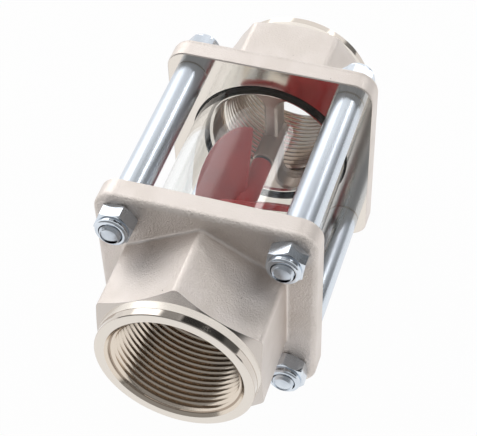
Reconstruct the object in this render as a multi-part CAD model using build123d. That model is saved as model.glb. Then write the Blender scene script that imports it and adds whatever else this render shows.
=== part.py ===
from build123d import *
import math
import os

# Flow indicator with a sight glass and an impeller, between two threaded end bodies.
# The flow axis is X, from the inlet at -X to the outlet at +X, and Z points up.
# The origin lies on the flow axis, midway between the two end faces. All sizes are millimetres.

# Pipe thread in each end body, a G 1 1/2 parallel thread, bored at its major diameter
thread_major_diameter = 47.803
mouth_chamfer = 1.25
thread_relief = 0.5
thread_groove_length = 1.0

# End body: square flange, hexagonal port and turned end
port_wall = 5.55
port_length = 35.5
hex_corner_radius = 3.0
hex_base_radius = 1.5
hex_chamfer_angle = 26.0
collar_step = 0.15
collar_length = 2.75
collar_taper = 0.4
rim_step = 0.1
rim_length = 3.0
rim_edge_chamfer = 0.3
flange_thickness = 9.3
flange_corner_radius = 8.0
flange_outer_edge_radius = 2.2
flange_inner_edge_chamfer = 0.4

# Seat of the glass in the flange
seat_lip = 1.2
seat_depth = 4.0
glass_seat_inset = 1.4
glass_seat_gap = 0.6
seal_floor = 2.0
seal_clearance = 0.05
seal_setback = 0.3

# Sight glass
chamber_length = 67.4
glass_wall = 3.5
glass_edge_chamfer = 0.4

# Bearing bridge across the bore of each end body
bridge_thickness = 5.0
bridge_depth = 9.7
bridge_setback = 0.8
bridge_foot_radius = 5.0
bridge_waist_radius = 0.8
bridge_edge_bevel = 0.9
bearing_boss_radius = 4.2
bearing_boss_reach = 9.9
bearing_boss_edge = 0.3

# Impeller, shaft and bearing bushes
hub_radius = 3.9
hub_edge = 0.4
vane_tip_clearance = 6.5
vane_pitch = 46.0
vane_thickness = 2.0
vane_edge_radius = 0.5
vane_shift = 1.4
impeller_turn = -7.0
impeller_float = 0.3
shaft_radius = 1.5
shaft_press = 0.01
shaft_end_chamfer = 0.3
bush_wall = 1.1
bush_running_clearance = 0.04
bush_press = 0.01
bush_length = 9.0
bush_collar_thickness = 0.8
bush_collar_width = 0.7
shaft_end_gap = 1.5

# Tie rods with M8 ends
tie_rod_radius = 6.0
tie_rod_land = 6.0
tie_rod_edge = 0.4
bolt_edge_distance = 9.5
stud_radius = 4.0
stud_hole_clearance = 0.5
stud_protrusion = 1.6
stud_tip_chamfer = 0.9

# Lock nuts with plastic inserts
nut_across_flats = 13.0
nut_height = 8.0
nut_hex_height = 5.8
nut_chamfer_angle = 30.0
nut_thread_clearance = 0.03
nut_collar_inset = 0.5
nut_collar_rounding = 0.9
insert_width = 1.1
insert_thickness = 1.9
insert_setback = 0.6
insert_lip_opening = 0.45
insert_clearance = 0.02
nut_turns = (8, 22, 38, 50)

# Places and radii that follow from the sizes above
thread_radius = thread_major_diameter / 2
relief_radius = thread_radius + thread_relief
seat_inner_radius = relief_radius + seat_lip
glass_inner_radius = seat_inner_radius + glass_seat_inset
glass_outer_radius = glass_inner_radius + glass_wall
seat_outer_radius = glass_outer_radius + glass_seat_gap
bolt_half_spacing = (seat_outer_radius + tie_rod_land + tie_rod_radius) / math.sqrt(2)
flange_side = 2 * (bolt_half_spacing + bolt_edge_distance)

inner_face = chamber_length / 2
outer_face = inner_face + flange_thickness
end_face = outer_face + port_length
bridge_front = inner_face + bridge_setback
bridge_back = bridge_front + bridge_depth
thread_start = bridge_back + thread_groove_length
boss_tip = inner_face - bearing_boss_reach
collar_face = boss_tip - bush_collar_thickness
hub_end = collar_face - impeller_float
seal_face = inner_face + seat_depth - seal_floor

hex_radius = thread_radius + port_wall
hex_corner = hex_radius / math.cos(math.pi / 6)
vane_radius = glass_inner_radius - vane_tip_clearance
bush_bore_radius = shaft_radius + bush_running_clearance
bush_outer_radius = bush_bore_radius + bush_wall
insert_outer_radius = stud_radius + insert_width
nut_corner = nut_across_flats / 2 / math.cos(math.pi / 6)

bolt_places = (
    (bolt_half_spacing, bolt_half_spacing),
    (-bolt_half_spacing, bolt_half_spacing),
    (-bolt_half_spacing, -bolt_half_spacing),
    (bolt_half_spacing, -bolt_half_spacing),
)


def across(x):
    """Plane square to the flow axis at x, with Y to its right and Z up."""
    return Plane.YZ.offset(x)


def rod(radius, start, end):
    """Solid cylinder on the flow axis."""
    return extrude(across(start) * Circle(radius), end - start)


def tube(outer, inner, start, end):
    """Hollow cylinder on the flow axis."""
    return extrude(across(start) * (Circle(outer) - Circle(inner)), end - start)


def turned(*outline):
    """Solid turned about the flow axis from an outline of (x, radius) points."""
    return revolve(make_face(Polyline(*outline, close=True)), Axis.X)


def flange_plate():
    """Square flange, sharp at the machined inner face and cast round at the outer edge."""
    outline = across(inner_face) * RectangleRounded(flange_side, flange_side, flange_corner_radius)
    plate = extrude(outline, flange_thickness)
    plate = fillet(plate.faces().sort_by(Axis.X)[-1].edges(), flange_outer_edge_radius)
    return chamfer(plate.faces().sort_by(Axis.X)[0].edges(), flange_inner_edge_chamfer)


def port_envelope():
    """What the turning leaves of the hexagon: corner chamfer, collar and rim."""
    reach = hex_corner + 1
    collar_base = hex_radius - collar_step
    collar_top = collar_base - collar_taper
    rim_radius = collar_top - rim_step
    rim_start = end_face - rim_length
    collar_start = rim_start - collar_length
    corner_start = collar_start - (reach - collar_base) * math.tan(math.radians(hex_chamfer_angle))
    return turned(
        (inner_face, 0),
        (inner_face, reach),
        (corner_start, reach),
        (collar_start, collar_base),
        (rim_start, collar_top),
        (rim_start, rim_radius),
        (end_face - rim_edge_chamfer, rim_radius),
        (end_face, rim_radius - rim_edge_chamfer),
        (end_face, 0),
    )


def hex_port():
    """Hexagonal port with a corner upwards."""
    hexagon = RegularPolygon(hex_radius, 6, major_radius=False, rotation=90)
    hexagon = fillet(hexagon.vertices(), hex_corner_radius)
    overlap = flange_thickness / 2
    prism = extrude(across(outer_face - overlap) * hexagon, port_length + overlap)
    return prism & port_envelope()


def flow_bore():
    """Bore from the end face to the bearing bridge, with the thread's groove and mouth chamfer."""
    return turned(
        (bridge_back, 0),
        (bridge_back, relief_radius),
        (thread_start, relief_radius),
        (thread_start, thread_radius),
        (end_face - mouth_chamfer, thread_radius),
        (end_face, thread_radius + mouth_chamfer),
        (end_face + mouth_chamfer, thread_radius + mouth_chamfer),
        (end_face + mouth_chamfer, 0),
    )


def seat_mouth():
    """Cone that opens from the bridge's front to the flange's inner face."""
    return turned(
        (inner_face, 0),
        (inner_face, relief_radius + bridge_setback),
        (bridge_front, relief_radius),
        (bridge_front, 0),
    )


def bridge_windows():
    """The two openings beside the upright bearing bridge."""
    span = 2 * relief_radius
    windows = Circle(relief_radius) - Rectangle(bridge_thickness, span) - Circle(bearing_boss_radius)
    feet = windows.vertices().filter_by(lambda v: abs(v.Y) > bearing_boss_radius)
    windows = fillet(feet, bridge_foot_radius)
    reach = bearing_boss_radius + 0.1
    waists = windows.vertices().filter_by(lambda v: math.hypot(v.X, v.Y) < reach)
    windows = fillet(waists, bridge_waist_radius)
    through = extrude(across(bridge_front) * windows, bridge_depth)
    bevel_end = bridge_front + bridge_edge_bevel
    bevel = extrude(across(bevel_end) * windows, -bridge_edge_bevel, taper=-45)
    return through + (bevel & rod(relief_radius, bridge_front, bevel_end))


def end_body():
    """Outlet end body. The inlet's is the same casting, turned end for end."""
    body = flange_plate() + hex_port()
    base = [
        edge
        for edge in body.edges()
        if abs(edge.center().X - outer_face) < 0.01
        and math.hypot(edge.center().Y, edge.center().Z) < hex_corner
        and edge.bounding_box().size.X < 0.01
    ]
    body = fillet(base, hex_base_radius)
    body -= flow_bore()
    body -= seat_mouth()
    body -= bridge_windows()
    body -= tube(seat_outer_radius, seat_inner_radius, inner_face, inner_face + seat_depth)
    boss = rod(bearing_boss_radius, boss_tip, bridge_back)
    body += chamfer(boss.faces().sort_by(Axis.X)[0].edges(), bearing_boss_edge)
    body -= rod(bush_outer_radius - bush_press, boss_tip, boss_tip + bush_length + shaft_end_gap)
    hole = extrude(across(inner_face) * Circle(stud_radius + stud_hole_clearance), flange_thickness)
    for y, z in bolt_places:
        body -= Pos(0, y, z) * hole
    return body


def sight_glass():
    """Glass cylinder that stands in both flange seats."""
    glass = tube(glass_outer_radius, glass_inner_radius, -seal_face, seal_face)
    ends = glass.edges().filter_by(lambda e: abs(abs(e.center().X) - seal_face) < 0.01)
    return chamfer(ends, glass_edge_chamfer)


def glass_seal():
    """Angle-section seal between the outlet end of the glass and its seat."""
    outside = seat_outer_radius - seal_clearance
    inside = seat_inner_radius + seal_clearance
    wall_inside = glass_outer_radius + seal_clearance
    floor = inner_face + seat_depth
    mouth = inner_face + seal_setback
    section = make_face(
        Polyline(
            (floor, inside),
            (seal_face, inside),
            (seal_face, wall_inside),
            (mouth, wall_inside),
            (mouth, outside),
            (floor, outside),
            close=True,
        )
    )
    return revolve(section, Axis.X)


def vane():
    """Flat half-elliptic vane on the +Y side: a pitched plate, cut to the swept cylinder."""
    half_length = vane_radius / math.tan(math.radians(vane_pitch))
    sweep = Pos(vane_shift, 0, 0) * rod(vane_radius, -half_length, half_length)
    plate = Box(3 * vane_radius, vane_radius, vane_thickness, align=(Align.CENTER, Align.MIN, Align.CENTER))
    blade = (Pos(vane_shift, 0, 0) * Rot(0, -vane_pitch, 0) * plate) & sweep
    return fillet(blade.edges(), vane_edge_radius)


def impeller():
    """Hub and its two vanes, moulded in one piece, with the bore for the shaft."""
    hub = rod(hub_radius, -hub_end, hub_end)
    hub = chamfer(hub.edges().filter_by(GeomType.CIRCLE), hub_edge)
    wheel = hub + vane() + Rot(180, 0, 0) * vane()
    wheel -= rod(shaft_radius - shaft_press, -hub_end, hub_end)
    return Rot(impeller_turn, 0, 0) * wheel


def impeller_shaft():
    """Steel shaft, pressed into the hub, whose ends run in the bushes."""
    end = boss_tip + bush_length - shaft_end_chamfer
    shaft = rod(shaft_radius, -end, end)
    return chamfer(shaft.edges().filter_by(GeomType.CIRCLE), shaft_end_chamfer)


def bearing_bush():
    """Collared bush in the outlet's bearing boss."""
    sleeve = tube(bush_outer_radius, bush_bore_radius, boss_tip, boss_tip + bush_length)
    collar = tube(bush_outer_radius + bush_collar_width, bush_bore_radius, collar_face, boss_tip)
    return sleeve + collar


def tie_rod():
    """Spacer rod between the flanges, with a threaded stud at each end."""
    stud_end = outer_face + nut_height + stud_protrusion
    half = (
        (0, 0),
        (0, tie_rod_radius),
        (inner_face - tie_rod_edge, tie_rod_radius),
        (inner_face, tie_rod_radius - tie_rod_edge),
        (inner_face, stud_radius),
        (stud_end - stud_tip_chamfer, stud_radius),
        (stud_end, stud_radius - stud_tip_chamfer),
        (stud_end, 0),
    )
    right = turned(*half)
    return right + Rot(0, 0, 180) * right


def lock_nut():
    """Lock nut that stands on the plane x = 0, with the recess for its insert."""
    seat = nut_across_flats / 2
    drop = (nut_corner - seat) * math.tan(math.radians(nut_chamfer_angle))
    collar_radius = seat - nut_collar_inset
    blank = turned(
        (0, 0),
        (0, seat),
        (drop, nut_corner),
        (nut_hex_height - drop, nut_corner),
        (nut_hex_height, seat),
        (nut_hex_height, collar_radius),
        (nut_height, collar_radius),
        (nut_height, 0),
    )
    blank = fillet(blank.faces().sort_by(Axis.X)[-1].edges(), nut_collar_rounding)
    flats = extrude(across(0) * RegularPolygon(seat, 6, major_radius=False), nut_height)
    nut = blank & flats
    insert_end = nut_height - insert_setback
    nut -= rod(stud_radius + nut_thread_clearance, 0, nut_height)
    nut -= rod(insert_outer_radius, insert_end - insert_thickness, insert_end)
    return nut - rod(stud_radius + insert_lip_opening, insert_end, nut_height)


def nut_insert():
    """Plastic ring in the collar of a lock nut that stands on the plane x = 0."""
    end = nut_height - insert_setback
    outside = insert_outer_radius - insert_clearance
    return tube(outside, stud_radius + nut_thread_clearance, end - insert_thickness, end)


def turn_end_for_end(part):
    """The outlet's piece as it stands at the inlet."""
    return Rot(0, 0, 180) * part


def write(name, part):
    """Write one piece to its own file."""
    export_step(part.solid(), os.path.join("parts", name + ".step"))


os.makedirs("parts", exist_ok=True)

body = end_body()
seal = glass_seal()
bush = bearing_bush()
write("outlet_body", body)
write("outlet_seal", seal)
write("outlet_bush", bush)
write("inlet_body", turn_end_for_end(body))
write("inlet_seal", turn_end_for_end(seal))
write("inlet_bush", turn_end_for_end(bush))
write("sight_glass", sight_glass())
write("impeller", impeller())
write("impeller_shaft", impeller_shaft())

rod_piece = tie_rod()
nut_piece = lock_nut()
insert_piece = nut_insert()
for number, ((y, z), turn) in enumerate(zip(bolt_places, nut_turns), start=1):
    write(f"tie_rod_{number}", Pos(0, y, z) * rod_piece)
    at_outlet = Pos(outer_face, y, z) * Rot(turn, 0, 0)
    at_inlet = Pos(-outer_face, y, z) * Rot(0, 0, 180) * Rot(turn, 0, 0)
    for end, place in (("outlet", at_outlet), ("inlet", at_inlet)):
        write(f"{end}_nut_{number}", place * nut_piece)
        write(f"{end}_nut_insert_{number}", place * insert_piece)
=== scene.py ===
"""Looks of the impeller flow indicator: finishes, threads, the outlet's turned casting and studio.

Sizes are in millimetres, apart from the floor's width, which is in metres. Points nearer to each
other than WELD are merged, and BEYOND is farther out than any point of the indicator.
"""
import logging
import math
from dataclasses import dataclass, replace
from enum import Enum
from typing import Callable, Iterable, Optional, Sequence, Union

import bmesh
import bpy
from mathutils import Matrix, Vector


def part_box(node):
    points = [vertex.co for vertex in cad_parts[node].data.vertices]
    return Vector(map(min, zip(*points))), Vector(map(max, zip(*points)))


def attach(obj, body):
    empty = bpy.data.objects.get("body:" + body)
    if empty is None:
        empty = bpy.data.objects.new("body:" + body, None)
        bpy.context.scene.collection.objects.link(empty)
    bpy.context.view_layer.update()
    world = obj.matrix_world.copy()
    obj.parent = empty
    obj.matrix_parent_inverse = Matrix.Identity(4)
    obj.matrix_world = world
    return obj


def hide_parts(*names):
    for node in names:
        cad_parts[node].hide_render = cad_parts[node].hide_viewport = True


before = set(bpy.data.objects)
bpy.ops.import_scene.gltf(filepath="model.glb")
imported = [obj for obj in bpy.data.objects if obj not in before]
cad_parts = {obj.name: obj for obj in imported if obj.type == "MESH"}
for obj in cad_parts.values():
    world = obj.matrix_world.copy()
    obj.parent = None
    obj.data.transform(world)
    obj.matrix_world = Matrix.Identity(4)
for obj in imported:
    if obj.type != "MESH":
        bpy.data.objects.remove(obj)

log = logging.getLogger("flow_indicator")

MM = 0.001
WELD = 0.0005
BEYOND = 200.0
Socket = bpy.types.NodeSocket
Input = Union[Socket, float, int, Sequence[float]]


class Side(Enum):
    """The two ends of the indicator, with the sign of X at each."""

    INLET = -1
    OUTLET = 1

    @property
    def word(self) -> str:
        """The end's word in the names of its pieces."""
        return self.name.lower()

    def place(self, mesh: bmesh.types.BMesh) -> None:
        """Turn a mesh that was made for the outlet end for end, if this is the inlet.

        Args:
            mesh: The mesh, made at the outlet.
        """
        if self is Side.INLET:
            bmesh.ops.rotate(mesh, verts=mesh.verts, matrix=Matrix.Rotation(math.pi, 3, "Z"))


class Graph:
    """A shader tree under construction."""

    def __init__(self, tree: bpy.types.NodeTree) -> None:
        """Start on a tree.

        Args:
            tree: The node tree of a material, a world or a group.
        """
        self.tree = tree

    def node(self, kind: str, **settings: object) -> bpy.types.Node:
        """Add a node.

        Args:
            kind: The node's type.
            **settings: Properties to set on it.

        Returns:
            The new node.
        """
        made = self.tree.nodes.new(kind)
        for name, value in settings.items():
            setattr(made, name, value)
        return made

    def feed(self, socket: Socket, source: Input) -> None:
        """Link a socket to another, or set its value.

        Args:
            socket: The input to fill.
            source: A socket or a plain value.
        """
        if isinstance(source, bpy.types.NodeSocket):
            self.tree.links.new(source, socket)
        else:
            socket.default_value = source

    def math(self, operation: str, *sources: Input) -> Socket:
        """Add a Math node.

        Args:
            operation: What it works out.
            *sources: Its inputs, in order.

        Returns:
            Its result.
        """
        made = self.node("ShaderNodeMath", operation=operation)
        for socket, source in zip(made.inputs, sources):
            self.feed(socket, source)
        return made.outputs[0]

    def step(self, value: Input, low: float, high: float, start: Input = 0.0, end: Input = 1.0) -> Socket:
        """Map a value smoothly from one range to another.

        Args:
            value: What is mapped.
            low: The value that gives start.
            high: The value that gives end.
            start: The result at low and below.
            end: The result at high and above.

        Returns:
            The mapped value.
        """
        made = self.node("ShaderNodeMapRange", interpolation_type="SMOOTHSTEP")
        for name, source in zip(("Value", "From Min", "From Max", "To Min", "To Max"),
                                (value, low, high, start, end)):
            self.feed(made.inputs[name], source)
        return made.outputs["Result"]

    def blend(self, factor: Input, first: Input, second: Input) -> Socket:
        """Mix two colours.

        Args:
            factor: How much of the second one shows.
            first: The first colour.
            second: The second colour.

        Returns:
            The mixed colour.
        """
        made = self.node("ShaderNodeMix", data_type="RGBA")
        self.feed(made.inputs[0], factor)
        self.feed(made.inputs[6], first)
        self.feed(made.inputs[7], second)
        return made.outputs[2]

    def mix(self, factor: Input, first: Input, second: Input) -> Socket:
        """Mix two numbers.

        Args:
            factor: How much of the second one counts.
            first: The first number.
            second: The second number.

        Returns:
            The mixed number.
        """
        made = self.node("ShaderNodeMix", data_type="FLOAT")
        self.feed(made.inputs[0], factor)
        self.feed(made.inputs[2], first)
        self.feed(made.inputs[3], second)
        return made.outputs[0]

    def within(self, value: Input, low: float, high: float) -> Socket:
        """Mask of the values between two bounds.

        Args:
            value: What is compared.
            low: The lower bound.
            high: The upper bound.

        Returns:
            1 between the bounds, 0 elsewhere.
        """
        above = self.math("GREATER_THAN", value, low)
        return self.math("MULTIPLY", above, self.math("LESS_THAN", value, high))

    def group(self, tree: bpy.types.NodeTree, **values: Input) -> bpy.types.Node:
        """Place a node group.

        Args:
            tree: The group.
            **values: Its inputs by name, with underscores for spaces.

        Returns:
            The group's node.
        """
        made = self.node("ShaderNodeGroup", node_tree=tree)
        for name, value in values.items():
            self.feed(made.inputs[name.replace("_", " ")], value)
        return made


def new_group(name: str, inputs: dict[str, float],
              outputs: Iterable[str]) -> tuple[Graph, dict[str, Socket], bpy.types.Node]:
    """Start a node group with a Position input in millimetres.

    Args:
        name: The group's name.
        inputs: Names and defaults of its number inputs.
        outputs: Names of its number outputs.

    Returns:
        The graph, its inputs by name, and its output node.
    """
    tree = bpy.data.node_groups.new(name, "ShaderNodeTree")
    tree.interface.new_socket("Position", in_out="INPUT", socket_type="NodeSocketVector")
    for label, value in inputs.items():
        socket = tree.interface.new_socket(label, in_out="INPUT", socket_type="NodeSocketFloat")
        socket.default_value = value
    for label in outputs:
        tree.interface.new_socket(label, in_out="OUTPUT", socket_type="NodeSocketFloat")
    graph = Graph(tree)
    source = graph.node("NodeGroupInput")
    return graph, {s.name: s for s in source.outputs if s.name}, graph.node("NodeGroupOutput")


class Groups:
    """Effects that several finishes share, each built once."""

    def __init__(self) -> None:
        """Build the groups."""
        self.position = self._position()
        self.grain = self._grain()
        self.turning = self._turning()
        self.marks = self._marks()

    def _position(self) -> bpy.types.NodeTree:
        """Place along and out from the flow axis, from a position in millimetres.

        Returns:
            The group, which gives Along and Out.
        """
        graph, given, result = new_group("place_about_flow_axis", {}, ("Along", "Out"))
        split = graph.node("ShaderNodeSeparateXYZ")
        graph.feed(split.inputs[0], given["Position"])
        along = graph.math("ABSOLUTE", split.outputs[0])
        squares = graph.math("MULTIPLY", split.outputs[1], split.outputs[1])
        total = graph.math("MULTIPLY_ADD", split.outputs[2], split.outputs[2], squares)
        graph.feed(result.inputs["Along"], along)
        graph.feed(result.inputs["Out"], graph.math("SQRT", total))
        return graph.tree

    def _grain(self) -> bpy.types.NodeTree:
        """Fine grain of a blasted or moulded skin, and slow blotches over it.

        Returns:
            The group, which gives Height and Blotch.
        """
        graph, given, result = new_group("skin_grain", {"Fineness": 3.0, "Blotch Size": 9.0},
                                         ("Height", "Blotch"))
        fine = graph.node("ShaderNodeTexNoise")
        fine.inputs["Detail"].default_value = 4.0
        fine.inputs["Roughness"].default_value = 0.6
        graph.feed(fine.inputs["Vector"], given["Position"])
        graph.feed(fine.inputs["Scale"], given["Fineness"])
        slow = graph.node("ShaderNodeTexNoise")
        slow.inputs["Detail"].default_value = 2.0
        graph.feed(slow.inputs["Vector"], given["Position"])
        graph.feed(slow.inputs["Scale"], graph.math("DIVIDE", 1.0, given["Blotch Size"]))
        graph.feed(result.inputs["Height"], fine.outputs[0])
        graph.feed(result.inputs["Blotch"], slow.outputs[0])
        return graph.tree

    def _turning(self) -> bpy.types.NodeTree:
        """Fine rings that a lathe leaves, on faces and on cylinders about the flow axis.

        Returns:
            The group, which gives Height.
        """
        graph, given, result = new_group("turning_rings", {"Rings": 4.0}, ("Height",))
        place = graph.group(self.position, Position=given["Position"])
        both = graph.node("ShaderNodeCombineXYZ")
        graph.feed(both.inputs[0], place.outputs["Along"])
        graph.feed(both.inputs[1], place.outputs["Out"])
        rings = graph.node("ShaderNodeTexNoise", noise_dimensions="2D")
        rings.inputs["Detail"].default_value = 3.0
        graph.feed(rings.inputs["Vector"], both.outputs[0])
        graph.feed(rings.inputs["Scale"], given["Rings"])
        graph.feed(result.inputs["Height"], rings.outputs[0])
        return graph.tree

    def _marks(self) -> bpy.types.NodeTree:
        """Sparse small dots, such as pits and specks.

        Returns:
            The group, which gives Dots.
        """
        graph, given, result = new_group("small_dots", {"Spacing": 4.0, "Share": 0.1, "Size": 0.2},
                                         ("Dots",))
        cells = graph.node("ShaderNodeTexVoronoi")
        graph.feed(cells.inputs["Vector"], given["Position"])
        graph.feed(cells.inputs["Scale"], graph.math("DIVIDE", 1.0, given["Spacing"]))
        near = graph.math("LESS_THAN", cells.outputs["Distance"],
                          graph.math("DIVIDE", given["Size"], given["Spacing"]))
        split = graph.node("ShaderNodeSeparateColor")
        graph.feed(split.inputs[0], cells.outputs["Color"])
        chosen = graph.math("LESS_THAN", split.outputs[0], given["Share"])
        graph.feed(result.inputs["Dots"], graph.math("MULTIPLY", near, chosen))
        return graph.tree


class Finish:
    """A material in the making: a Principled shader and the position in millimetres."""

    def __init__(self, name: str) -> None:
        """Start a material.

        Args:
            name: The material's name.
        """
        self.material = bpy.data.materials.new(name)
        self.material.use_nodes = True
        self.material.node_tree.nodes.clear()
        self.graph = Graph(self.material.node_tree)
        self.shader = self.graph.node("ShaderNodeBsdfPrincipled")
        self.output = self.graph.node("ShaderNodeOutputMaterial")
        self.graph.feed(self.output.inputs["Surface"], self.shader.outputs[0])
        scale = self.graph.node("ShaderNodeVectorMath", operation="SCALE")
        scale.inputs["Scale"].default_value = 1 / MM
        self.graph.feed(scale.inputs[0], self.graph.node("ShaderNodeTexCoord").outputs["Object"])
        self.position = scale.outputs[0]

    def set(self, **values: Input) -> None:
        """Set or link the shader's inputs.

        Args:
            **values: Inputs by name, with underscores for spaces.
        """
        for name, value in values.items():
            self.graph.feed(self.shader.inputs[name.replace("_", " ")], value)

    def bump(self, height: Input, depth: float) -> None:
        """Raise the surface by a height map.

        Args:
            height: The map, from 0 to 1.
            depth: How far 1 stands up, in millimetres.
        """
        made = self.graph.node("ShaderNodeBump")
        made.inputs["Distance"].default_value = depth * MM
        self.graph.feed(made.inputs["Height"], height)
        self.graph.feed(self.shader.inputs["Normal"], made.outputs[0])


@dataclass(frozen=True)
class Zone:
    """A part of the end body's surface with a finish of its own, in millimetres.

    With a slope, its bounds in radius rise by that much for each millimetre towards the middle.
    """

    along: tuple[float, float]
    out: tuple[float, float]
    roughness: float
    machined: bool = True
    colour: Optional[tuple[float, ...]] = None
    slope: float = 0.0

    def mask(self, graph: Graph, along: Socket, out: Socket) -> Socket:
        """Where the zone lies.

        Args:
            graph: The material's graph.
            along: Distance from the middle.
            out: Distance from the flow axis.

        Returns:
            1 in the zone, 0 elsewhere.
        """
        rest = graph.math("SUBTRACT", self.along[1], along)
        above = graph.math("SUBTRACT", out, graph.math("MULTIPLY", rest, self.slope))
        return graph.math("MULTIPLY", graph.within(along, *self.along), graph.within(above, *self.out))


@dataclass(frozen=True)
class Nickel:
    """Nickel plate over a casting: satin where cast, bright where it was turned.

    The first four values are places on the flow axis. Each depth is a distance from the port's
    end face. The radii and the margin keep a zone's bounds clear of the surfaces beside it.
    """

    inner_face: float
    outer_face: float
    end_face: float
    thread_start: float
    name: str = "nickel_plate"
    cast_colour: tuple[float, ...] = (0.84, 0.775, 0.73, 1)
    cast_blotch: tuple[float, ...] = (0.8, 0.735, 0.685, 1)
    # Painted shade: a dark brown for the bridge, boss and bore inside the flow passage, where little
    # light gets in.
    passage_shade_colour: tuple[float, ...] = (0.52, 0.43, 0.37, 1)
    turned_colour: tuple[float, ...] = (0.8, 0.745, 0.68, 1)
    # Painted reflection: the cone is darker than the other turned faces, standing for the dark
    # surroundings it reflects.
    cone_dark_reflection_colour: tuple[float, ...] = (0.6, 0.55, 0.51, 1)
    rim_colour: tuple[float, ...] = (0.66, 0.6, 0.54, 1)
    # Painted shade: dark brown in the thread roots, between the ridges.
    root_shade_colour: tuple[float, ...] = (0.42, 0.34, 0.27, 1)
    # The thread's colour here is darker and browner than the other turned faces: painted shade of the
    # inlet's bore.
    thread_colour: tuple[float, ...] = (0.76, 0.67, 0.57, 1)
    pit_colour: tuple[float, ...] = (0.22, 0.18, 0.14, 1)
    thread_roughness: float = 0.17
    cast_roughness: tuple[float, float] = (0.46, 0.49)
    fine_grain: float = 0.8
    coarse_grain: float = 3.2
    coarse_start: tuple[float, float] = (3.0, 1.2)
    port_share: float = 0.15
    lathe_marks: float = 0.02
    relief: float = 0.16
    margin: float = 0.05
    cone_depth: tuple[float, float] = (8.2, 5.75)
    collar_depth: tuple[float, float] = (5.77, 3.02)
    root_depth: float = 1.0
    cone_radius: float = 29.26
    cone_angle: float = 26.0
    mouth_radius: float = 25.3
    passage_radius: float = 24.42
    thread_roots: tuple[float, float] = (23.45, 24.3)
    inner_radius: float = 24.6
    seat_radius: float = 31.3
    seat_depth: float = 4.0

    def zones(self) -> tuple[Zone, ...]:
        """The zones that differ from the cast skin, each over the ones before it.

        Returns:
            The zones.
        """
        end = self.end_face - self.margin
        cone = tuple(self.end_face - depth for depth in self.cone_depth)
        collar = tuple(self.end_face - depth for depth in self.collar_depth)
        thread = self.thread_start - self.margin
        inner = self.inner_face + self.margin
        slope = 1 / math.tan(math.radians(self.cone_angle))
        return (
            # Inside the flow passage: painted shade, darker and browner than the cast skin outside.
            Zone((0.0, thread), (0.0, self.passage_radius), 0.4, False, self.passage_shade_colour),
            # The cone: painted dark reflection over the turned nickel.
            Zone(cone, (self.cone_radius, BEYOND), 0.16, colour=self.cone_dark_reflection_colour, slope=slope),
            Zone(collar, (self.mouth_radius, BEYOND), 0.27),
            Zone((collar[1], BEYOND), (self.mouth_radius, BEYOND), 0.1, colour=self.rim_colour),
            Zone((end, BEYOND), (0.0, BEYOND), 0.3),
            Zone((thread, end), (0.0, self.mouth_radius), self.thread_roughness,
                 colour=self.thread_colour),
            # The thread roots: painted shade, darker than the crests.
            Zone((thread, self.end_face - self.root_depth), self.thread_roots,
                 self.thread_roughness, colour=self.root_shade_colour),
            Zone((0.0, inner), (self.inner_radius, BEYOND), 0.09),
            Zone((0.0, inner + self.seat_depth), (self.passage_radius, self.seat_radius), 0.14),
        )

    def build(self, groups: Groups) -> bpy.types.Material:
        """Build the material.

        Args:
            groups: The shared node groups.

        Returns:
            The material.
        """
        finish = Finish(self.name)
        graph = finish.graph
        place = graph.group(groups.position, Position=finish.position)
        along, out = place.outputs["Along"], place.outputs["Out"]
        grain = graph.group(groups.grain, Position=finish.position, Fineness=1.3, Blotch_Size=14.0)
        rings = graph.group(groups.turning, Position=finish.position, Rings=5.0)
        dots = graph.group(groups.marks, Position=finish.position, Spacing=5.0, Share=0.12, Size=0.22)
        blotch = graph.step(grain.outputs["Blotch"], 0.38, 0.66)
        rough: Input = graph.step(blotch, 0.0, 1.0, *self.cast_roughness)
        colour = graph.blend(blotch, self.cast_colour, self.cast_blotch)
        machined: Input = 0.0
        for zone in self.zones():
            mask = zone.mask(graph, along, out)
            rough = graph.mix(mask, rough, zone.roughness)
            colour = graph.blend(mask, colour, zone.colour or self.turned_colour)
            if zone.machined:
                machined = graph.math("MAXIMUM", machined, mask)
        skin = graph.math("SUBTRACT", 1.0, machined)
        pits = graph.math("MULTIPLY", dots.outputs["Dots"], skin)
        colour = graph.blend(pits, colour, self.pit_colour)
        finish.set(Metallic=1.0, Base_Color=colour, Roughness=rough)
        edge = graph.step(along, *(self.outer_face - depth for depth in self.coarse_start))
        port = graph.step(along, self.outer_face, self.outer_face + 0.5, 1.0, self.port_share)
        coarse = graph.math("MULTIPLY", edge, port)
        depth = graph.math("MULTIPLY_ADD", coarse, self.coarse_grain, self.fine_grain)
        cast = graph.math("MULTIPLY", grain.outputs["Height"], graph.math("MULTIPLY", depth, skin))
        marks = graph.math("MULTIPLY", machined, self.lathe_marks)
        lathe = graph.math("MULTIPLY", rings.outputs["Height"], marks)
        height = graph.math("ADD", cast, lathe)
        finish.bump(graph.math("SUBTRACT", height, pits), self.relief)
        return finish.material


@dataclass(frozen=True)
class Zinc:
    """Bright bluish zinc plate on drawn steel."""

    name: str = "zinc_plate"
    colour: tuple[float, ...] = (0.72, 0.775, 0.84, 1)
    dull: tuple[float, ...] = (0.6, 0.65, 0.715, 1)
    roughness: float = 0.26
    drawn_out: float = 0.06
    grain_depth: float = 0.012

    def build(self, groups: Groups) -> bpy.types.Material:
        """Build the material.

        Args:
            groups: The shared node groups.

        Returns:
            The material.
        """
        finish = Finish(self.name)
        graph = finish.graph
        stretch = graph.node("ShaderNodeVectorMath", operation="MULTIPLY")
        stretch.inputs[1].default_value = (self.drawn_out, 1.0, 1.0)
        graph.feed(stretch.inputs[0], finish.position)
        drawn = graph.group(groups.grain, Position=stretch.outputs[0], Fineness=2.5, Blotch_Size=5.0)
        patch = graph.step(drawn.outputs["Blotch"], 0.35, 0.7)
        finish.set(Metallic=1.0, Base_Color=graph.blend(patch, self.colour, self.dull))
        finish.set(Roughness=graph.step(patch, 0.0, 1.0, self.roughness, self.roughness + 0.1))
        finish.bump(drawn.outputs["Height"], self.grain_depth)
        return finish.material


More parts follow.
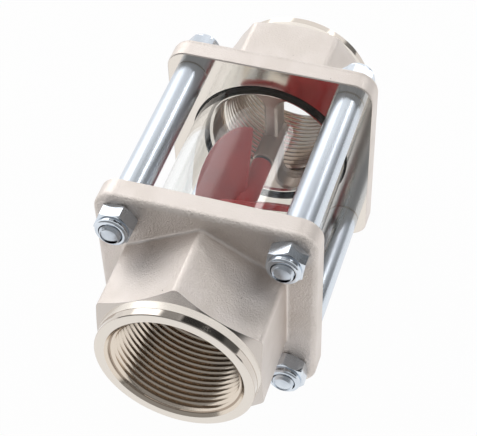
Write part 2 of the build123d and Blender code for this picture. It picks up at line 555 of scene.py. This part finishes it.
@dataclass(frozen=True)
class Plastic:
    """Moulded plastic or rubber with a fine skin."""

    name: str
    colour: tuple[float, ...]
    shade: tuple[float, ...]
    roughness: float = 0.35
    skin_depth: float = 0.008

    def build(self, groups: Groups) -> bpy.types.Material:
        """Build the material.

        Args:
            groups: The shared node groups.

        Returns:
            The material.
        """
        finish = Finish(self.name)
        graph = finish.graph
        grain = graph.group(groups.grain, Position=finish.position, Fineness=4.0, Blotch_Size=8.0)
        blotch = graph.step(grain.outputs["Blotch"], 0.35, 0.7)
        finish.set(Base_Color=graph.blend(blotch, self.colour, self.shade))
        finish.set(Roughness=graph.step(blotch, 0.0, 1.0, self.roughness, self.roughness + 0.08))
        finish.bump(grain.outputs["Height"], self.skin_depth)
        return finish.material


@dataclass(frozen=True)
class Steel:
    """Ground stainless steel."""

    colour: tuple[float, ...] = (0.62, 0.61, 0.59, 1)
    grinding_depth: float = 0.006

    def build(self, groups: Groups) -> bpy.types.Material:
        """Build the material.

        Args:
            groups: The shared node groups.

        Returns:
            The material.
        """
        finish = Finish("ground_steel")
        rings = finish.graph.group(groups.turning, Position=finish.position, Rings=8.0)
        finish.set(Metallic=1.0, Base_Color=self.colour)
        finish.set(Roughness=finish.graph.step(rings.outputs["Height"], 0.3, 0.7, 0.18, 0.28))
        finish.bump(rings.outputs["Height"], self.grinding_depth)
        return finish.material


@dataclass(frozen=True)
class ClearGlass:
    """Clear glass that lets light through to what it holds."""

    tint: tuple[float, ...] = (0.985, 0.995, 0.99, 1)
    passed: tuple[float, ...] = (0.95, 0.96, 0.955, 1)
    bend: float = 1.4

    def build(self, groups: Groups) -> bpy.types.Material:
        """Build the material.

        Args:
            groups: The shared node groups.

        Returns:
            The material.
        """
        finish = Finish("clear_glass")
        graph = finish.graph
        grain = graph.group(groups.grain, Position=finish.position, Fineness=0.2, Blotch_Size=6.0)
        finish.set(Base_Color=self.tint, Transmission_Weight=1.0, IOR=self.bend)
        finish.set(Roughness=graph.step(grain.outputs["Blotch"], 0.3, 0.8, 0.0, 0.015))
        clear = graph.node("ShaderNodeBsdfTransparent")
        clear.inputs[0].default_value = self.passed
        path = graph.node("ShaderNodeLightPath")
        through = graph.math("MAXIMUM", path.outputs["Is Shadow Ray"], path.outputs["Is Diffuse Ray"])
        mix = graph.node("ShaderNodeMixShader")
        graph.feed(mix.inputs[0], through)
        graph.feed(mix.inputs[1], finish.shader.outputs[0])
        graph.feed(mix.inputs[2], clear.outputs[0])
        graph.feed(finish.output.inputs["Surface"], mix.outputs[0])
        return finish.material


class Workshop:
    """What every sub-assembly needs: its finishes, and how meshes become pieces.

    An edge is sharp from SHARP on. INNER_FACE and THREAD_START are places on the flow axis.
    """

    SHARP = math.radians(32)
    INNER_FACE = 33.7
    THREAD_START = 45.2

    def __init__(self) -> None:
        """Build the shared groups and the finishes."""
        groups = Groups()
        nut_low, nut_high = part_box("outlet_nut_1")
        self.outer_face = nut_low.x / MM
        self.nut_top = nut_high.x / MM
        self.stud_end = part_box("tie_rod_1")[1].x / MM
        self.end_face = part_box("outlet_body")[1].x / MM
        nickel = Nickel(self.INNER_FACE, self.outer_face, self.end_face, self.THREAD_START)
        # The same plate with a lighter thread colour, without the painted shade of the inlet's bore.
        unshaded_thread = replace(nickel, name="nickel_plate_unshaded_thread", thread_colour=(0.97, 0.9, 0.82, 1))
        red = Plastic("red_plastic", (0.54, 0.036, 0.036, 1), (0.47, 0.03, 0.031, 1), 0.45)
        rubber = Plastic("black_rubber", (0.03, 0.029, 0.027, 1), (0.04, 0.038, 0.035, 1), 0.38)
        nylon = Plastic("insert_nylon", (0.03, 0.035, 0.045, 1), (0.04, 0.045, 0.055, 1), 0.4)
        dark = Plastic("bearing_plastic", (0.07, 0.06, 0.055, 1), (0.05, 0.045, 0.04, 1), 0.4)
        self.finishes: dict[str, bpy.types.Material] = {
            "nickel_plated_brass": nickel.build(groups),
            "nickel_unshaded_thread": unshaded_thread.build(groups),
            "zinc_plated_steel": Zinc().build(groups),
            "polished_zinc": Zinc("zinc_plate_nuts", roughness=0.1).build(groups),
            "clear_glass": ClearGlass().build(groups),
            "red_plastic": red.build(groups),
            "black_rubber": rubber.build(groups),
            "insert_nylon": nylon.build(groups),
            "bearing_plastic": dark.build(groups),
            "stainless_steel": Steel().build(groups),
        }

    def piece(self, name: str, mesh: bmesh.types.BMesh, slot: str, body: str,
              finish: Optional[str] = None) -> bpy.types.Object:
        """Turn a finished mesh, in millimetres, into a piece that rides on a body.

        Args:
            name: The piece's name.
            mesh: Its mesh, which is freed.
            slot: The material slot it belongs to.
            body: The body it rides on.
            finish: Its finish, if that isn't the slot's own.

        Returns:
            The piece.
        """
        bmesh.ops.scale(mesh, verts=mesh.verts, vec=(MM, MM, MM))
        self.shade(mesh)
        data = bpy.data.meshes.new(name)
        mesh.to_mesh(data)
        mesh.free()
        made = bpy.data.objects.new(name, data)
        bpy.context.scene.collection.objects.link(made)
        data.materials.append(self.finishes[finish or slot])
        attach(made, body)
        log.info("%s: %d faces", name, len(data.polygons))
        return made

    def shade(self, mesh: bmesh.types.BMesh) -> None:
        """Shade a mesh smooth, with sharp edges kept where faces meet at an angle.

        Args:
            mesh: The mesh.
        """
        for face in mesh.faces:
            face.smooth = True
        for edge in mesh.edges:
            edge.smooth = edge.is_manifold and edge.calc_face_angle(0.0) < self.SHARP

    def refine(self, node: str, slot: str, body: str, finish: Optional[str] = None) -> bpy.types.Object:
        """A smooth-shaded copy of a node's solid, which stands for it.

        Args:
            node: The node's name.
            slot: The material slot it belongs to.
            body: The body it rides on.
            finish: Its finish, if that isn't the slot's own.

        Returns:
            The piece.
        """
        return self.stand_in(node, self.solid(node), slot, body, finish)

    def solid(self, node: str) -> bmesh.types.BMesh:
        """A merged copy of a node's solid, in millimetres.

        Args:
            node: The node's name.

        Returns:
            The mesh.
        """
        mesh = bmesh.new()
        mesh.from_mesh(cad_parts[node].data)
        bmesh.ops.scale(mesh, verts=mesh.verts, vec=(1 / MM, 1 / MM, 1 / MM))
        bmesh.ops.remove_doubles(mesh, verts=mesh.verts, dist=WELD)
        return mesh

    def stand_in(self, node: str, mesh: bmesh.types.BMesh, slot: str, body: str,
                 finish: Optional[str] = None) -> bpy.types.Object:
        """A smooth-shaded piece that stands for a node.

        Args:
            node: The node's name.
            mesh: The piece's mesh, in millimetres, which is freed.
            slot: The material slot it belongs to.
            body: The body it rides on.
            finish: Its finish, if that isn't the slot's own.

        Returns:
            The piece.
        """
        made = self.piece("finished_" + node, mesh, slot, body, finish)
        weights = made.modifiers.new("even_shading", "WEIGHTED_NORMAL")
        weights.keep_sharp = True
        weights.weight = 80
        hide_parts(node)
        return made


def spin_about_flow(mesh: bmesh.types.BMesh, outline: Sequence[tuple[float, float]], steps: int,
                    closed: bool) -> None:
    """Turn an outline about the flow axis into a closed skin.

    Args:
        mesh: The mesh that gets it.
        outline: Points of (x, radius), in millimetres.
        steps: Steps in a full turn.
        closed: Whether the outline's last point joins its first.
    """
    points = [mesh.verts.new((x, 0.0, r)) for x, r in outline]
    pairs = list(zip(points, points[1:]))
    if closed:
        pairs.append((points[-1], points[0]))
    edges = [mesh.edges.new(pair) for pair in pairs]
    bmesh.ops.spin(mesh, geom=points + edges, cent=(0, 0, 0), axis=(1, 0, 0), dvec=(0, 0, 0),
                   angle=2 * math.pi, steps=steps, use_merge=True)
    bmesh.ops.remove_doubles(mesh, verts=mesh.verts, dist=2 * WELD)
    bmesh.ops.recalc_face_normals(mesh, faces=mesh.faces)


def add_part(mesh: bmesh.types.BMesh, part: bmesh.types.BMesh) -> None:
    """Add a closed part to a mesh.

    Args:
        mesh: The mesh that gets it.
        part: The part, which is freed.
    """
    data = bpy.data.meshes.new("part")
    part.to_mesh(data)
    part.free()
    mesh.from_mesh(data)
    bpy.data.meshes.remove(data)


def combine(first: bmesh.types.BMesh, second: bmesh.types.BMesh, operation: str) -> bmesh.types.BMesh:
    """Cut or intersect two closed meshes.

    Args:
        first: The mesh that is worked on, which is freed.
        second: The mesh that works on it, which is freed.
        operation: DIFFERENCE or INTERSECT.

    Returns:
        The result.
    """
    blanks = []
    for mesh in (first, second):
        data = bpy.data.meshes.new("blank")
        mesh.to_mesh(data)
        mesh.free()
        blanks.append(bpy.data.objects.new("blank", data))
        bpy.context.scene.collection.objects.link(blanks[-1])
    step = blanks[0].modifiers.new("combine", "BOOLEAN")
    step.operation = operation
    step.solver = "EXACT"
    step.object = blanks[1]
    result = bmesh.new()
    result.from_object(blanks[0], bpy.context.evaluated_depsgraph_get())
    for blank in blanks:
        data = blank.data
        bpy.data.objects.remove(blank)
        bpy.data.meshes.remove(data)
    return result


@dataclass
class Thread:
    """A helical ridge about the flow axis, in millimetres.

    The limit gives the radius that the crest keeps to at each place on the axis. The flank's share
    is nearer to 1 the straighter the flanks are. The root is how far the ridges' feet are sunk, and
    the base how far the closed section goes on into the wall.
    """

    pitch: float
    major: float
    minor: float
    start: float
    end: float
    inside: bool
    limit: Callable[[float], float]
    steps: int = 96
    points: int = 9
    flank: float = 0.93
    root: float = 0.03
    base: float = 0.12
    half_width: float = 0.499

    def section(self) -> list[tuple[float, float]]:
        """Closed section of one ridge: a rounded crest on a foot that is sunk in the wall.

        Returns:
            Points of (x, radius), about the start.
        """
        sign = 1.0 if self.inside else -1.0
        foot, crest = (self.major, self.minor) if self.inside else (self.minor, self.major)
        half = self.half_width * self.pitch
        ridge = []
        for index in range(self.points):
            share = index / (self.points - 1)
            wave = math.cos(2 * math.pi * (share - 0.5))
            round_wave = math.asin(self.flank * wave) / math.asin(self.flank)
            height = 0.5 * (1 + round_wave)
            radius = foot - sign * self.root + (crest - foot + sign * self.root) * height
            ridge.append(((2 * share - 1) * half, radius))
        deep = foot + sign * self.base
        return [(-half, deep)] + ridge + [(half, deep)]

    def build(self, mesh: bmesh.types.BMesh) -> None:
        """Add the thread to a mesh.

        Args:
            mesh: The mesh, empty or with other closed parts.
        """
        own = bmesh.new()
        section = self.section()
        first = self.start - self.pitch
        turns = math.ceil((self.end - first) / self.pitch) + 1
        loop = [own.verts.new((first + u, 0.0, r)) for u, r in section]
        edges = [own.edges.new(pair) for pair in zip(loop, loop[1:] + loop[:1])]
        bmesh.ops.spin(own, geom=loop + edges, cent=(0, 0, 0), axis=(1, 0, 0),
                       dvec=(self.pitch / self.steps, 0, 0), angle=2 * math.pi,
                       steps=self.steps, use_merge=False)
        turn = own.verts[:] + own.edges[:] + own.faces[:]
        for number in range(1, turns):
            copied = bmesh.ops.duplicate(own, geom=turn)["geom"]
            verts = [item for item in copied if isinstance(item, bmesh.types.BMVert)]
            bmesh.ops.translate(own, verts=verts, vec=(number * self.pitch, 0, 0))
        bmesh.ops.remove_doubles(own, verts=own.verts, dist=WELD)
        for place, way in ((self.start, -1), (self.end, 1)):
            bmesh.ops.bisect_plane(own, geom=own.verts[:] + own.edges[:] + own.faces[:], dist=WELD,
                                   plane_co=(place, 0, 0), plane_no=(way, 0, 0), clear_outer=True)
        bmesh.ops.holes_fill(own, edges=[e for e in own.edges if e.is_boundary], sides=0)
        for vert in own.verts:
            radius = math.hypot(vert.co.y, vert.co.z)
            bound = self.limit(vert.co.x)
            held = max(radius, bound) if self.inside else min(radius, bound)
            vert.co.y *= held / radius
            vert.co.z *= held / radius
        bmesh.ops.recalc_face_normals(own, faces=own.faces)
        add_part(mesh, own)


@dataclass
class EndBodies:
    """Both end bodies, with the pipe thread in each port.

    The outlet's casting is turned a quarter, so that a flat of its hexagon is up. Its bearing
    bridge still stands upright, as the solid's does: it is cut from the solid by a plug, and put
    in the turned casting where the same plug, a little slimmer, has cut the other bridge away.
    """

    shop: Workshop
    thread_pitch: float = 2.309
    thread_major: float = 23.9015
    thread_minor: float = 22.422
    mouth_chamfer: float = 1.25
    mouth_slope: float = 1.73
    run_out: float = 0.6
    thread_steps: int = 144
    passage: tuple[float, float] = (34.45, 45.0)
    boss_reach: float = 12.0
    boss_room: float = 8.0
    passage_cut: float = 24.6
    bridge_ring: float = 24.9
    plug_inset: float = 0.01
    plug_steps: int = 180

    def crest_limit(self, x: float) -> float:
        """Smallest radius of the thread at a place, for its chamfered mouth and its run-out.

        Args:
            x: Distance along the flow axis, in millimetres.

        Returns:
            The radius.
        """
        depth = self.thread_major - self.thread_minor
        mouth = self.thread_major + self.mouth_slope * (x - (self.shop.end_face - self.mouth_chamfer))
        inner = self.thread_major - depth * (x - self.shop.THREAD_START) / self.run_out
        return max(mouth, inner)

    def passage_plug(self, radius: float, inset: float) -> bmesh.types.BMesh:
        """Plug that fills the outlet's flow passage at its bridge, and the room round its boss.

        Args:
            radius: The plug's radius, in millimetres.
            inset: How far both its ends stand back.

        Returns:
            The plug.
        """
        low, high = self.passage[0] + inset, self.passage[1] - inset
        start = low - self.boss_reach
        outline = [
            (start, 0.0), (start, self.boss_room), (low, self.boss_room),
            (low, radius), (high, radius), (high, 0.0),
        ]
        mesh = bmesh.new()
        spin_about_flow(mesh, outline, self.plug_steps, closed=False)
        return mesh

    def turned_outlet(self) -> bmesh.types.BMesh:
        """The outlet's casting, turned a quarter, round its upright bridge.

        Returns:
            The mesh.
        """
        plug = self.passage_plug(self.bridge_ring, 0.0)
        bridge = combine(self.shop.solid("outlet_body"), plug, "INTERSECT")
        casting = self.shop.solid("outlet_body")
        bmesh.ops.rotate(casting, verts=casting.verts, matrix=Matrix.Rotation(math.pi / 2, 3, "X"))
        plug = self.passage_plug(self.passage_cut, self.plug_inset)
        casting = combine(casting, plug, "DIFFERENCE")
        add_part(casting, bridge)
        return casting

    def build(self) -> None:
        """Build both bodies and their threads."""
        for side in Side:
            body = f"{side.word}_body"
            shape = self.turned_outlet() if side is Side.OUTLET else self.shop.solid(body)
            self.shop.stand_in(body, shape, "nickel_plated_brass", "housing")
            mesh = bmesh.new()
            thread = Thread(
                pitch=self.thread_pitch,
                major=self.thread_major,
                minor=self.thread_minor,
                start=self.shop.THREAD_START,
                end=self.shop.end_face - self.mouth_chamfer,
                inside=True,
                limit=self.crest_limit,
                steps=self.thread_steps,
            )
            thread.build(mesh)
            side.place(mesh)
            # The outlet's thread leaves out the painted shade that the inlet's thread has.
            finish = "nickel_unshaded_thread" if side is Side.OUTLET else None
            self.shop.piece(f"{side.word}_port_thread", mesh, "nickel_plated_brass", "housing", finish)


@dataclass
class Glazing:
    """The sight glass and its seals."""

    shop: Workshop
    steps: int = 256
    wall: float = 3.5
    edge: float = 0.4

    def build(self) -> None:
        """Build the glass and the seals."""
        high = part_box("sight_glass")[1]
        half, outside = high.x / MM, high.y / MM
        inside = outside - self.wall
        corner = self.edge
        mesh = bmesh.new()
        outline = [
            (-half + corner, outside), (half - corner, outside), (half, outside - corner),
            (half, inside + corner), (half - corner, inside), (-half + corner, inside),
            (-half, inside + corner), (-half, outside - corner),
        ]
        spin_about_flow(mesh, outline, self.steps, closed=True)
        glass = self.shop.piece("clear_sight_glass", mesh, "clear_glass", "housing")
        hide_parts("sight_glass")
        for side in Side:
            self.shop.refine(f"{side.word}_seal", "black_rubber", "housing")


@dataclass
class Rotor:
    """The impeller, its shaft and the bearing bushes."""

    shop: Workshop

    def build(self) -> None:
        """Build the rotor and its bearings."""
        self.shop.refine("impeller", "red_plastic", "rotor")
        self.shop.refine("impeller_shaft", "stainless_steel", "rotor")
        for side in Side:
            self.shop.refine(f"{side.word}_bush", "bearing_plastic", "housing")


@dataclass
class TieRods:
    """Tie rods with threaded studs, their lock nuts and the nuts' inserts."""

    shop: Workshop
    rod_radius: float = 6.0
    shoulder_edge: float = 0.4
    stud_major: float = 4.0
    stud_minor: float = 3.4
    stud_pitch: float = 1.25
    tip_chamfer: float = 0.9
    hidden_thread: float = 2.5
    thread_setback: float = 0.15
    dome_height: float = 0.5
    dome_edge: float = 0.05
    dome_shares: tuple[float, ...] = (0.85, 0.68, 0.5, 0.34, 0.17, 0.0)
    steps: int = 96
    thread_steps: int = 48
    thread_points: int = 7

    def tip_limit(self, x: float) -> float:
        """Largest radius of the stud's thread at a place, for its chamfered tip.

        Args:
            x: Distance along the stud from the middle of the rod, in millimetres.

        Returns:
            The radius.
        """
        return self.stud_major - max(0.0, x - (self.shop.stud_end - self.tip_chamfer))

    def half_rod(self, inner_face: float) -> list[tuple[float, float]]:
        """Outline of the rod's outlet half, from its shoulder to the stud's tip.

        Args:
            inner_face: Where the rod's shoulder stands on the flange.

        Returns:
            Points of (x, radius).
        """
        end = self.shop.stud_end
        tip = self.stud_major - self.tip_chamfer
        start = self.shop.nut_top - self.hidden_thread
        stud = [
            (inner_face - self.shoulder_edge, self.rod_radius),
            (inner_face, self.rod_radius - self.shoulder_edge),
            (inner_face, self.stud_major),
            (start, self.stud_major),
            (start, self.stud_minor),
            (end - self.tip_chamfer + self.stud_major - self.stud_minor, self.stud_minor),
            (end - self.dome_height, tip + self.dome_edge),
        ]
        return stud + [(end - self.dome_height * s * s, tip * s) for s in self.dome_shares]

    def build_rod(self, number: int) -> None:
        """Build one tie rod.

        Args:
            number: The rod's number.
        """
        low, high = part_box(f"tie_rod_{number}")
        centre = (low + high) / 2 / MM
        half = self.half_rod(self.shop.INNER_FACE)
        mirrored = [(-x, r) for x, r in reversed(half)]
        mesh = bmesh.new()
        spin_about_flow(mesh, mirrored + half, self.steps, closed=False)
        for side in Side:
            thread = bmesh.new()
            Thread(
                pitch=self.stud_pitch,
                major=self.stud_major,
                minor=self.stud_minor,
                start=self.shop.nut_top - self.hidden_thread,
                end=self.shop.stud_end - self.thread_setback,
                inside=False,
                limit=self.tip_limit,
                steps=self.thread_steps,
                points=self.thread_points,
            ).build(thread)
            side.place(thread)
            add_part(mesh, thread)
        bmesh.ops.translate(mesh, verts=mesh.verts, vec=(0, centre.y, centre.z))
        rod = self.shop.piece(f"threaded_tie_rod_{number}", mesh, "zinc_plated_steel", "housing")
        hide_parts(f"tie_rod_{number}")

    def build(self) -> None:
        """Build all rods, nuts and inserts."""
        for number in range(1, 5):
            self.build_rod(number)
            for side in Side:
                nut, insert = f"{side.word}_nut_{number}", f"{side.word}_nut_insert_{number}"
                self.shop.refine(nut, "zinc_plated_steel", "housing", "polished_zinc")
                self.shop.refine(insert, "insert_nylon", "housing")


@dataclass(frozen=True)
class Panel:
    """A soft-edged patch of light or shade in the surroundings.

    It spans a range of the direction's share along X, and a range of its turn about X, in degrees
    from straight up towards -Y.
    """

    along: tuple[float, float]
    turn: tuple[float, float]
    level: float
    soft_along: float = 0.03
    soft_turn: float = 4.0

    def mask(self, graph: Graph, along: Socket, turn: Socket) -> Socket:
        """Where the patch lies.

        Args:
            graph: The world's graph.
            along: The direction's share along X.
            turn: The direction's turn about X, in degrees.

        Returns:
            1 in the patch and 0 outside it.
        """
        mask: Input = 1.0
        spans = ((along, self.along, self.soft_along), (turn, self.turn, self.soft_turn))
        for value, (low, high), soft in spans:
            mask = graph.math("MULTIPLY", mask, graph.step(value, low - soft, low + soft))
            mask = graph.math("MULTIPLY", mask, graph.step(value, high - soft, high + soft, 1.0, 0.0))
        return mask


@dataclass
class Studio:
    """Camera, surroundings and floor.

    The surroundings are dimmer behind than ahead of the part, with panels of light and shade over
    them. The dark card is a rectangle of the floor, along X and Y, that shows in reflections only.
    """

    camera_place: tuple[float, float, float] = (-336.46, -115.33, 381.22)
    camera_target: tuple[float, float, float] = (-3.13, 0.95, -2.48)
    camera_roll: float = -2.157
    lens: float = 105.39
    sensor: float = 36.0
    floor_width: float = 6.0
    floor_level: float = -40.0
    floor_glow: float = 0.97
    dark_card: tuple[tuple[float, float], ...] = ((-2500.0, -215.0), (-900.0, 60.0))
    card_edge: float = 25.0
    card_level: float = 0.05
    behind: float = 0.3
    ahead: float = 1.1
    side_blend: float = 0.15
    panels: tuple[Panel, ...] = (
        Panel((0.42, 0.65), (-2, 98), 0.03, soft_along=0.02),
        Panel((0.42, 0.76), (64, 96), 0.12, soft_along=0.02),
        Panel((0.45, 0.62), (-30, -2), 0.33),
        Panel((0.35, 0.78), (-72, -32), 2.2),
        Panel((0.63, 0.73), (31, 41), 6.6, soft_along=0.01, soft_turn=1.0),
    )

    def build_camera(self) -> None:
        """Place the camera at the photograph's viewpoint."""
        data = bpy.data.cameras.new("camera")
        data.lens = self.lens
        data.sensor_width = self.sensor
        data.sensor_fit = "HORIZONTAL"
        data.clip_start = 0.01
        camera = bpy.data.objects.new("camera", data)
        bpy.context.scene.collection.objects.link(camera)
        place = Vector(self.camera_place) * MM
        view = (Vector(self.camera_target) * MM - place).to_track_quat("-Z", "Y").to_matrix().to_4x4()
        roll = Matrix.Rotation(math.radians(self.camera_roll), 4, "Z")
        camera.matrix_world = Matrix.Translation(place) @ view @ roll
        bpy.context.scene.camera = camera

    def build_world(self) -> None:
        """Surroundings: white to the camera, and soft patches to everything else."""
        world = bpy.data.worlds.new("studio")
        bpy.context.scene.world = world
        world.use_nodes = True
        world.node_tree.nodes.clear()
        graph = Graph(world.node_tree)
        way = graph.node("ShaderNodeSeparateXYZ")
        graph.feed(way.inputs[0], graph.node("ShaderNodeTexCoord").outputs["Generated"])
        along = way.outputs[0]
        angle = graph.math("ARCTAN2", graph.math("MULTIPLY", way.outputs[1], -1.0), way.outputs[2])
        turn = graph.math("MULTIPLY", angle, 180 / math.pi)
        level: Input = graph.step(along, -self.side_blend, self.side_blend, self.behind, self.ahead)
        for panel in self.panels:
            level = graph.mix(panel.mask(graph, along, turn), level, panel.level)
        path = graph.node("ShaderNodeLightPath").outputs["Is Camera Ray"]
        seen = graph.math("ADD", graph.math("MULTIPLY", level, graph.math("SUBTRACT", 1.0, path)), path)
        background = graph.node("ShaderNodeBackground")
        background.inputs["Color"].default_value = (1, 1, 1, 1)
        graph.feed(background.inputs["Strength"], seen)
        output = graph.node("ShaderNodeOutputWorld")
        graph.feed(output.inputs["Surface"], background.outputs[0])

    def build_floor(self) -> None:
        """A plain white floor with a faint shadow, and a dark card on it that only reflections show."""
        mesh = bmesh.new()
        bmesh.ops.create_grid(mesh, x_segments=1, y_segments=1, size=self.floor_width / 2,
                              matrix=Matrix.Translation((0, 0, self.floor_level * MM)))
        data = bpy.data.meshes.new("floor")
        mesh.to_mesh(data)
        mesh.free()
        floor = bpy.data.objects.new("floor", data)
        bpy.context.scene.collection.objects.link(floor)
        material = bpy.data.materials.new("floor")
        material.use_nodes = True
        material.node_tree.nodes.clear()
        graph = Graph(material.node_tree)
        plain = graph.node("ShaderNodeBsdfDiffuse")
        plain.inputs[0].default_value = (0.9, 0.9, 0.9, 1)
        glow = graph.node("ShaderNodeEmission")
        glow.inputs[0].default_value = (1, 1, 1, 1)
        path = graph.node("ShaderNodeLightPath")
        place = graph.node("ShaderNodeSeparateXYZ")
        graph.feed(place.inputs[0], graph.node("ShaderNodeTexCoord").outputs["Object"])
        card: Input = path.outputs["Is Glossy Ray"]
        soft = self.card_edge * MM
        for value, bounds in zip(place.outputs, self.dark_card):
            low, high = (bound * MM for bound in bounds)
            card = graph.math("MULTIPLY", card, graph.step(value, low - soft, low + soft))
            card = graph.math("MULTIPLY", card, graph.step(value, high - soft, high + soft, 1.0, 0.0))
        graph.feed(glow.inputs[1], graph.mix(card, 1.0, self.card_level))
        seen = graph.math("MAXIMUM", graph.math("MAXIMUM", path.outputs["Is Camera Ray"],
                                                path.outputs["Is Glossy Ray"]),
                          path.outputs["Is Transmission Ray"])
        mix = graph.node("ShaderNodeMixShader")
        graph.feed(mix.inputs[0], graph.math("MULTIPLY", seen, self.floor_glow))
        graph.feed(mix.inputs[1], plain.outputs[0])
        graph.feed(mix.inputs[2], glow.outputs[0])
        graph.feed(graph.node("ShaderNodeOutputMaterial").inputs["Surface"], mix.outputs[0])
        data.materials.append(material)

    def build(self) -> None:
        """Build the whole studio."""
        self.build_camera()
        self.build_world()
        self.build_floor()
        bpy.context.scene.view_settings.view_transform = "Standard"


def main() -> None:
    """Build every sub-assembly in order."""
    logging.basicConfig(level=logging.INFO, format="%(name)s: %(message)s")
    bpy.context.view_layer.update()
    shop = Workshop()
    EndBodies(shop).build()
    Glazing(shop).build()
    Rotor(shop).build()
    TieRods(shop).build()
    Studio().build()


if __name__ == "__main__":
    main()
